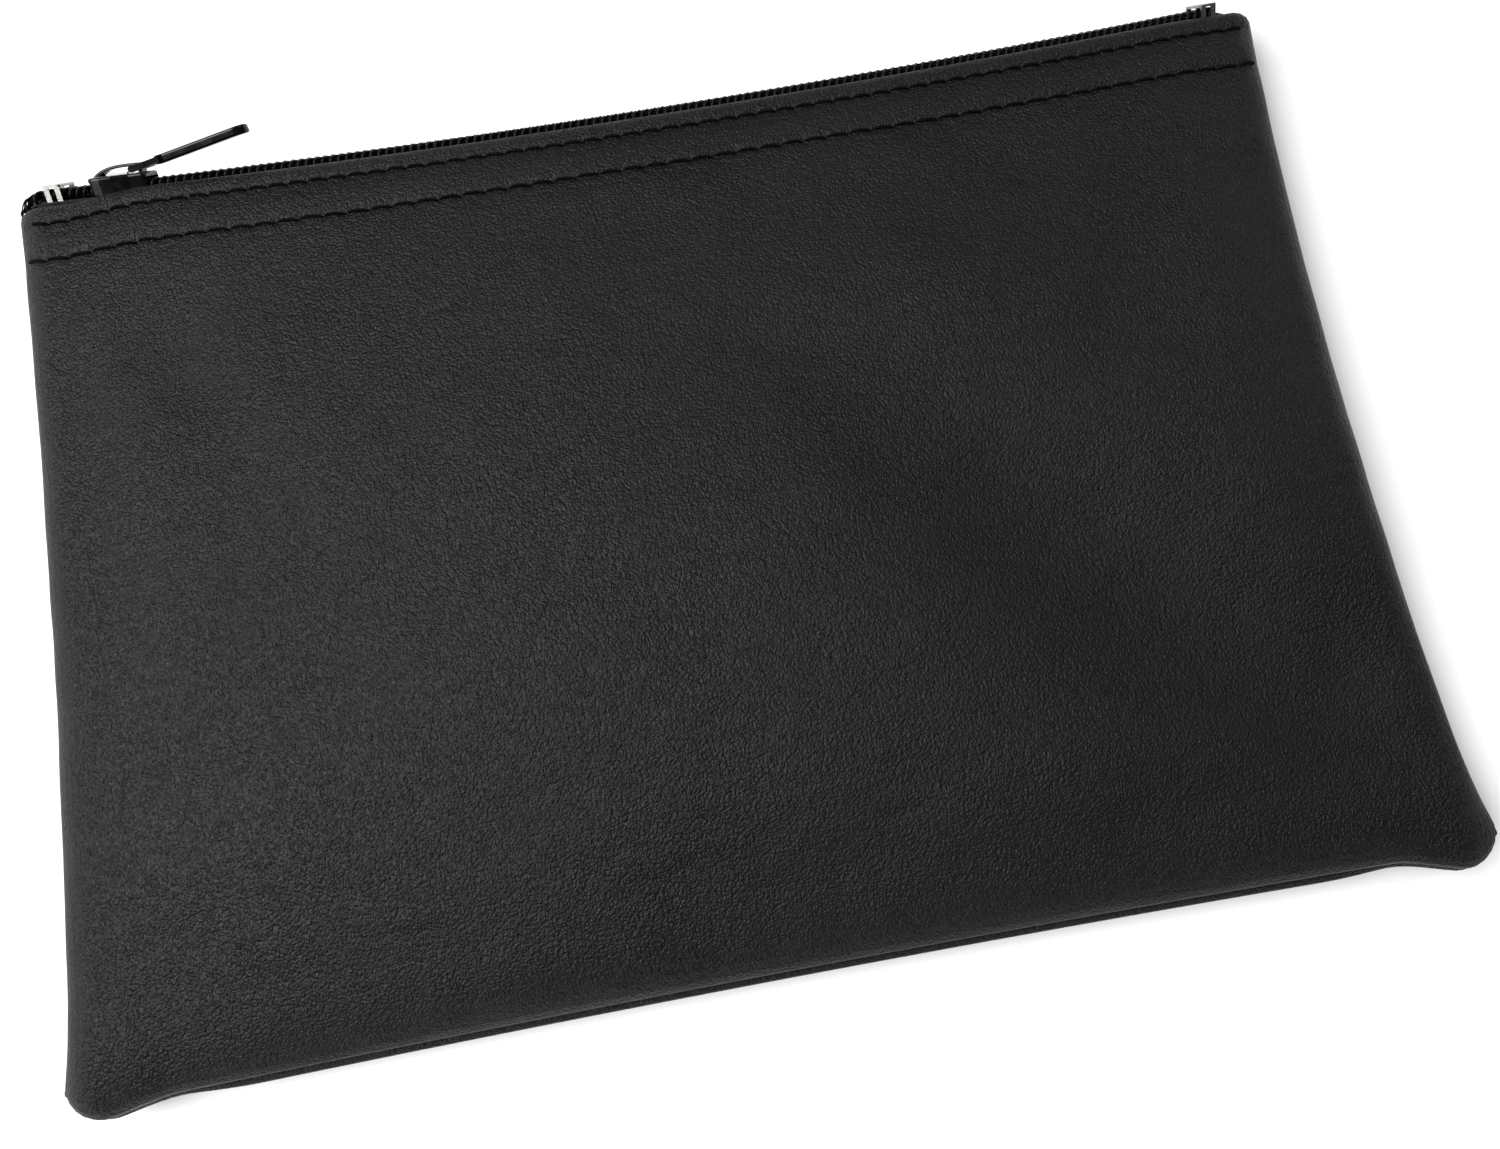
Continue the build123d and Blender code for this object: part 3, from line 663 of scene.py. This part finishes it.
def make_topstitch(side, name, below_rim, pitch, length):
    """A row of thread stitches, each arched between two needle holes."""
    half_count = int((HALF - ROW_END) / pitch)
    lean, above_sheet, arch, plunge = 0.16, 0.20, 0.26, 0.30
    parts = []
    for n in range(-half_count, half_count + 1):
        centre = n * pitch
        wander = lean * noise.noise(Vector((centre * 0.37, below_rim, side * 5.0)))
        line = []
        for k in range(9):
            part = k / 8 - 0.5
            x = centre + part * length
            row = below_rim + lean * part * 2 + wander
            spot = stitch_line(side, x, row)
            beside = stitch_line(side, x + 0.4, row)
            past = stitch_line(side, x, row - 0.3)
            normal = (beside - spot).cross(past - spot) * side
            normal.normalize()
            height = above_sheet - stitch_dip(below_rim, x)
            height += arch * (1 - (2 * part) ** 2) - plunge * abs(2 * part) ** 6
            line.append(spot + normal * height)
        parts.append(tube(line, lambda t: THREAD * (1 - 0.35 * abs(2 * t - 1) ** 3), 8))
    return joined(name, parts)


def seam_line(node):
    """Points along a seam's allowances, as far as the frame's stitching node goes."""
    low, high = [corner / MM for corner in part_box(node)]
    line = []
    if "bottom" in node:
        count = int((high.x - low.x) / 2)
        for n in range(count + 1):
            x = low.x + (high.x - low.x) * n / count
            x = max(-HALF + 1.5, min(HALF - 1.5, x))
            line.append(bottom_line(x) + Vector((0, CREASE_IN + SEAM_INSET, 0)))
        return line
    sign = -1 if "left" in node else 1
    count = int((high.y - low.y) / 2)
    for n in range(count + 1):
        y = low.y + (high.y - low.y) * n / count
        run = (y - BOTTOM_Y) / (ZIP_Y - BOTTOM_Y)
        edge = panel_sheet_point(1, sign * (HALF - CREASE_IN), radians(-CREASE_ANGLE), run, pi / 2)
        line.append(Vector((edge.x - sign * SEAM_INSET, y, 0)))
    return line


def make_seam_stitch(name, node):
    """Lockstitch through the allowances inside a seam, one thread on each side of them."""
    line = seam_line(node)
    spots, travelled = [line[0]], 0.0
    for a, b in zip(line, line[1:]):
        travelled += (b - a).length
        if travelled >= SEAM_PITCH:
            spots.append(b)
            travelled = 0.0
    parts = []
    hole, arch = 0.12, 0.12  # each stitch stops short by a share of its pitch, and arches in millimetres
    for a, b in zip(spots, spots[1:]):
        for side in (1, -1):
            lift = Vector((0, 0, SEAM_Z + side * (SKIN + SEAM_THREAD)))
            stitch = [a.lerp(b, hole + (1 - 2 * hole) * k / 6) + lift for k in range(7)]
            for k, point in enumerate(stitch):
                point.z += side * arch * sin(pi * k / 6)
            parts.append(tube(stitch, SEAM_THREAD, 6))
    return joined(name, parts)


# --- materials; texture scales are per metre, bump distances in metres
def new_material(name, stretch=(1, 1, 1)):
    """A material, its nodes and links, its shader, and object coordinates stretched that much."""
    material = bpy.data.materials.new(name)
    material.use_nodes = True
    nodes, links = material.node_tree.nodes, material.node_tree.links
    return material, nodes, links, nodes["Principled BSDF"], object_coords(nodes, links, stretch)


def object_coords(nodes, links, stretch, turn=0.0):
    coords = nodes.new("ShaderNodeTexCoord")
    mapping = nodes.new("ShaderNodeMapping")
    mapping.inputs["Scale"].default_value = stretch
    mapping.inputs["Rotation"].default_value = (0, 0, radians(turn))
    links.new(coords.outputs["Object"], mapping.inputs["Vector"])
    return mapping.outputs["Vector"]


def add_node(nodes, kind, **values):
    """A node with its properties and inputs set by name."""
    node = nodes.new(kind)
    for key, value in values.items():
        if hasattr(node, key):
            setattr(node, key, value)
        else:
            node.inputs[key.replace("_", " ").title()].default_value = value
    return node


def add_texture(nodes, links, kind, vector, **values):
    node = add_node(nodes, kind, **values)
    links.new(vector, node.inputs["Vector"])
    return node


def add_noise(nodes, links, vector, **values):
    return add_texture(nodes, links, "ShaderNodeTexNoise", vector, **values).outputs["Fac"]


def add_bump(nodes, links, height, strength, distance, under=None):
    """A bump of this height, laid over the normal of another bump."""
    node = add_node(nodes, "ShaderNodeBump", strength=strength, distance=distance)
    links.new(height, node.inputs["Height"])
    if under is not None:
        links.new(under.outputs["Normal"], node.inputs["Normal"])
    return node


def ramp(nodes, links, source, stops, target=None):
    """Colour ramp from pairs of position and colour, led into the target input."""
    node = nodes.new("ShaderNodeValToRGB")
    elements = node.color_ramp.elements
    while len(elements) < len(stops):
        elements.new(0.5)
    for element, (place_at, colour) in zip(elements, stops):
        element.position = place_at
        element.color = (*colour, 1)
    links.new(source, node.inputs["Fac"])
    if target is not None:
        links.new(node.outputs["Color"], target)
    return node.outputs["Color"]


def grey(value):
    return (value, value, value)


def leatherette():
    """Matt pebbled face with fine slanting wrinkles, painted highlight on the pebbles' tops and painted
    shade in the hollows between them, and broad soft changes of tone and gloss.
    """
    material, nodes, links, shader, vector = new_material("leatherette")
    warp = add_texture(nodes, links, "ShaderNodeTexNoise", vector, scale=260.0, detail=2.0)
    shift = add_node(nodes, "ShaderNodeVectorMath", operation="MULTIPLY_ADD")
    shift.inputs[1].default_value = (0.0011, 0.0011, 0.0011)
    links.new(warp.outputs["Color"], shift.inputs[0])
    links.new(vector, shift.inputs[2])
    pebble = add_texture(nodes, links, "ShaderNodeTexVoronoi", shift.outputs["Vector"],
                         scale=2100.0, feature="SMOOTH_F1").outputs["Distance"]
    fine = add_noise(nodes, links, vector, scale=2600.0, detail=3.0)
    slanted = object_coords(nodes, links, (1.0, 0.42, 1.0), turn=28)
    wrinkle = add_noise(nodes, links, slanted, scale=1700.0, detail=4.0, distortion=0.7)
    broad = add_noise(nodes, links, vector, scale=28.0, detail=3.0)

    mix = add_node(nodes, "ShaderNodeMix", data_type="RGBA", blend_type="MULTIPLY", factor=1.0)
    ramp(nodes, links, broad,
         [(0.30, (0.0048, 0.0047, 0.0054)), (0.70, (0.0068, 0.0066, 0.0076))], mix.inputs["A"])
    # Pebble tops lighter and the hollows between them darker: painted highlight and painted shade that
    # follow the grain's relief.
    ramp(nodes, links, pebble,
         [(0.05, grey(1.15)), (0.35, grey(1.0)), (0.62, grey(0.75))], mix.inputs["B"])
    links.new(mix.outputs["Result"], shader.inputs["Base Color"])
    ramp(nodes, links, broad, [(0.3, grey(0.42)), (0.7, grey(0.52))], shader.inputs["Roughness"])
    shader.inputs["Specular IOR Level"].default_value = 0.21

    pebbles = add_bump(nodes, links, pebble, 1.0, 0.00034)
    pebbles.invert = True
    wrinkles = add_bump(nodes, links, wrinkle, 0.9, 0.00034, under=pebbles)
    grain = add_bump(nodes, links, fine, 0.6, 0.00012, under=wrinkles)
    links.new(grain.outputs["Normal"], shader.inputs["Normal"])
    return material


def woven(name, low, high, rib_scale, roughness, sheen):
    """Fine ribbed weave in two tones."""
    material, nodes, links, shader, vector = new_material(name)
    ribs = add_texture(nodes, links, "ShaderNodeTexWave", vector,
                       scale=rib_scale, distortion=0.6, bands_direction="X")
    cross = add_texture(nodes, links, "ShaderNodeTexWave", vector,
                        scale=rib_scale * 0.8, bands_direction="Z")
    both = add_node(nodes, "ShaderNodeMath", operation="MULTIPLY")
    links.new(ribs.outputs["Fac"], both.inputs[0])
    links.new(cross.outputs["Fac"], both.inputs[1])
    fuzz = add_noise(nodes, links, vector, scale=1800.0, detail=4.0)
    ramp(nodes, links, fuzz, [(0.3, low), (0.7, high)], shader.inputs["Base Color"])
    shader.inputs["Roughness"].default_value = roughness
    shader.inputs["Sheen Weight"].default_value = sheen
    shader.inputs["Specular IOR Level"].default_value = 0.05
    weave = add_bump(nodes, links, both.outputs["Value"], 0.7, 0.00012)
    links.new(weave.outputs["Normal"], shader.inputs["Normal"])
    return material


def nylon():
    """Black monofilament with faint drawn streaks and a soft shine."""
    material, nodes, links, shader, vector = new_material("nylon_coil")
    streak = add_noise(nodes, links, vector, scale=900.0, detail=3.0)
    ramp(nodes, links, streak,
         [(0.3, (0.002, 0.002, 0.0022)), (0.7, (0.005, 0.005, 0.0055))], shader.inputs["Base Color"])
    ramp(nodes, links, streak, [(0.3, grey(0.42)), (0.75, grey(0.55))], shader.inputs["Roughness"])
    shader.inputs["Specular IOR Level"].default_value = 0.14
    return material


def enamel():
    """Black gloss enamel with a little orange peel, paler where the sharp edges wear."""
    material, nodes, links, shader, vector = new_material("black_enamel")
    peel = add_noise(nodes, links, vector, scale=1300.0, detail=2.0)
    wear = add_noise(nodes, links, vector, scale=420.0, detail=6.0)
    geometry = nodes.new("ShaderNodeNewGeometry")
    edge = add_node(nodes, "ShaderNodeMath", operation="MULTIPLY")
    links.new(geometry.outputs["Pointiness"], edge.inputs[0])
    links.new(wear, edge.inputs[1])
    ramp(nodes, links, edge.outputs["Value"],
         [(0.30, (0.002, 0.002, 0.0022)), (0.42, (0.006, 0.006, 0.0065))], shader.inputs["Base Color"])
    ramp(nodes, links, wear, [(0.3, grey(0.12)), (0.8, grey(0.22))], shader.inputs["Roughness"])
    shader.inputs["Specular IOR Level"].default_value = 0.24
    orange_peel = add_bump(nodes, links, peel, 0.15, 0.00005)
    links.new(orange_peel.outputs["Normal"], shader.inputs["Normal"])
    return material


def metal(name, low, high, smoothest, roughest):
    """Bare or plated metal with fine scratches."""
    material, nodes, links, shader, vector = new_material(name, stretch=(1, 6, 1))
    scratch = add_noise(nodes, links, vector, scale=700.0, detail=5.0)
    ramp(nodes, links, scratch, [(0.25, low), (0.75, high)], shader.inputs["Base Color"])
    ramp(nodes, links, scratch,
         [(0.3, grey(smoothest)), (0.7, grey(roughest))], shader.inputs["Roughness"])
    shader.inputs["Metallic"].default_value = 1.0
    scratches = add_bump(nodes, links, scratch, 0.2, 0.00004)
    links.new(scratches.outputs["Normal"], shader.inputs["Normal"])
    return material


def give(obj, material):
    obj.data.materials.clear()
    obj.data.materials.append(material)


def place(obj, node, material, slot_name):
    """Rides on the bag, stands for its frame node and takes its finish."""
    give(obj, material)
    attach(obj, "bag")
    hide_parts(node)


# --- build
skin = leatherette()
tape_cloth = woven("zip_tape_weave", (0.003, 0.003, 0.0034), (0.008, 0.008, 0.0085),
                   rib_scale=900.0, roughness=0.85, sheen=0.05)
thread_fibre = woven("sewing_thread", (0.0015, 0.0015, 0.0017), (0.004, 0.004, 0.0045),
                     rib_scale=2200.0, roughness=0.65, sheen=0.0)
cord_fibre = woven("filler_cord", grey(0.002), grey(0.005),
                   rib_scale=1500.0, roughness=0.8, sheen=0.0)
coil_nylon = nylon()
black_enamel = enamel()
nickel = metal("bright_nickel", (0.22, 0.215, 0.205), (0.34, 0.335, 0.32), 0.26, 0.42)
spring = metal("spring_steel", (0.20, 0.20, 0.21), (0.34, 0.34, 0.35), 0.28, 0.45)

FRONT_STEP, BACK_STEP = ((0.9, 1.8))
for label, side, step in (("front", 1, FRONT_STEP), ("back", -1, BACK_STEP)):
    panel = make_panel(side, f"{label}_panel_skin", step)
    place(panel, f"{label}_panel", skin, "leatherette")
    place(make_tape(side, f"{label}_tape_weave"), f"zipper_tape_{label}", tape_cloth, "tape")

    filament = tube(coil_points(side), COIL_WIRE, 8)
    place(joined(f"{label}_coil_filament", [filament]), f"coil_{label}", coil_nylon, "coil")
    core = strand_points(side, CORD_ACROSS, CORD_ABOVE, *CORD_SPAN)
    plies = twisted(core, CORD_RADIUS, CORD_PLIES, CORD_TURN)
    place(joined(f"{label}_coil_cord_plies", plies), f"coil_cord_{label}", cord_fibre, "cord")
    rows = [tube(strand_points(side, across, ROW_ABOVE, *ROW_SPAN, ROW_WAVE), ROW_RADIUS, 6)
            for across in ROW_ACROSS]
    place(joined(f"{label}_coil_thread_rows", rows), f"coil_thread_{label}", thread_fibre, "thread")

    for row, below_rim, pitch, stitch in (("upper", UPPER_ROW, UPPER_PITCH, UPPER_STITCH),
                                          ("lower", LOWER_ROW, LOWER_PITCH, LOWER_STITCH)):
        thread = make_topstitch(side, f"{label}_{row}_thread", below_rim, pitch, stitch)
        place(thread, f"{label}_{row}_stitching", thread_fibre, "thread")

for node in ("side_seam_left_stitching", "side_seam_right_stitching", "bottom_seam_stitching"):
    place(make_seam_stitch(f"{node}_thread", node), node, thread_fibre, "thread")

for node in ("slider_body", "slider_cap", "pull_tab"):
    give(frame["nodes"][node], black_enamel)
give(frame["nodes"]["lock_pawl"], spring)
for node in ("end_stop_left", "end_stop_right"):
    give(frame["nodes"][node], nickel)


# --- stage, light and camera, in metres
def make_stage():
    """A wide sheet of white paper under the bag."""
    bpy.ops.mesh.primitive_grid_add(x_subdivisions=8, y_subdivisions=8, size=4.0, location=(0, 0, 0))
    paper = bpy.context.object
    paper.name = "studio_floor"
    material = bpy.data.materials.new("floor_paper")
    material.use_nodes = True
    shader = material.node_tree.nodes["Principled BSDF"]
    shader.inputs["Base Color"].default_value = (*grey(0.92), 1)
    shader.inputs["Roughness"].default_value = 0.9
    shader.inputs["Specular IOR Level"].default_value = 0.1
    give(paper, material)


def add_softbox(name, place_at, size, power):
    """A rectangular light aimed at the middle of the bag; power in watts."""
    light = bpy.data.lights.new(name, "AREA")
    light.shape = "RECTANGLE"
    light.size, light.size_y = size
    light.energy = power
    obj = bpy.data.objects.new(name, light)
    bpy.context.collection.objects.link(obj)
    obj.location = place_at
    obj.rotation_euler = (-Vector(place_at)).to_track_quat("-Z", "Y").to_euler()


def light_world(strength):
    """Even white light from all round."""
    world = bpy.data.worlds.new("studio")
    world.use_nodes = True
    background = world.node_tree.nodes["Background"]
    background.inputs["Color"].default_value = (1, 1, 1, 1)
    background.inputs["Strength"].default_value = strength
    bpy.context.scene.world = world
    bpy.context.scene.view_settings.view_transform = "Standard"


def add_camera(place_at, turned, lens, sensor):
    """A camera looking down at the bag, turned by these degrees; lens and sensor in millimetres."""
    data = bpy.data.cameras.new("photo_camera")
    camera = bpy.data.objects.new("photo_camera", data)
    bpy.context.collection.objects.link(camera)
    data.sensor_width = sensor
    data.lens = lens
    data.clip_start = 0.01
    camera.location = place_at
    camera.rotation_euler = Euler([radians(degrees) for degrees in turned])
    bpy.context.scene.camera = camera


make_stage()
add_softbox("softbox_left", place_at=(-0.85, 0.05, 1.15), size=(1.3, 0.9), power=38.0)
add_softbox("fill_right", place_at=(0.9, 0.5, 0.9), size=(0.5, 0.9), power=3.5)
light_world(0.11)
add_camera(place_at=(-0.0039, -0.0519, 0.2334), turned=(9.68, -0.42, -10.10), lens=26.0, sensor=36.0)
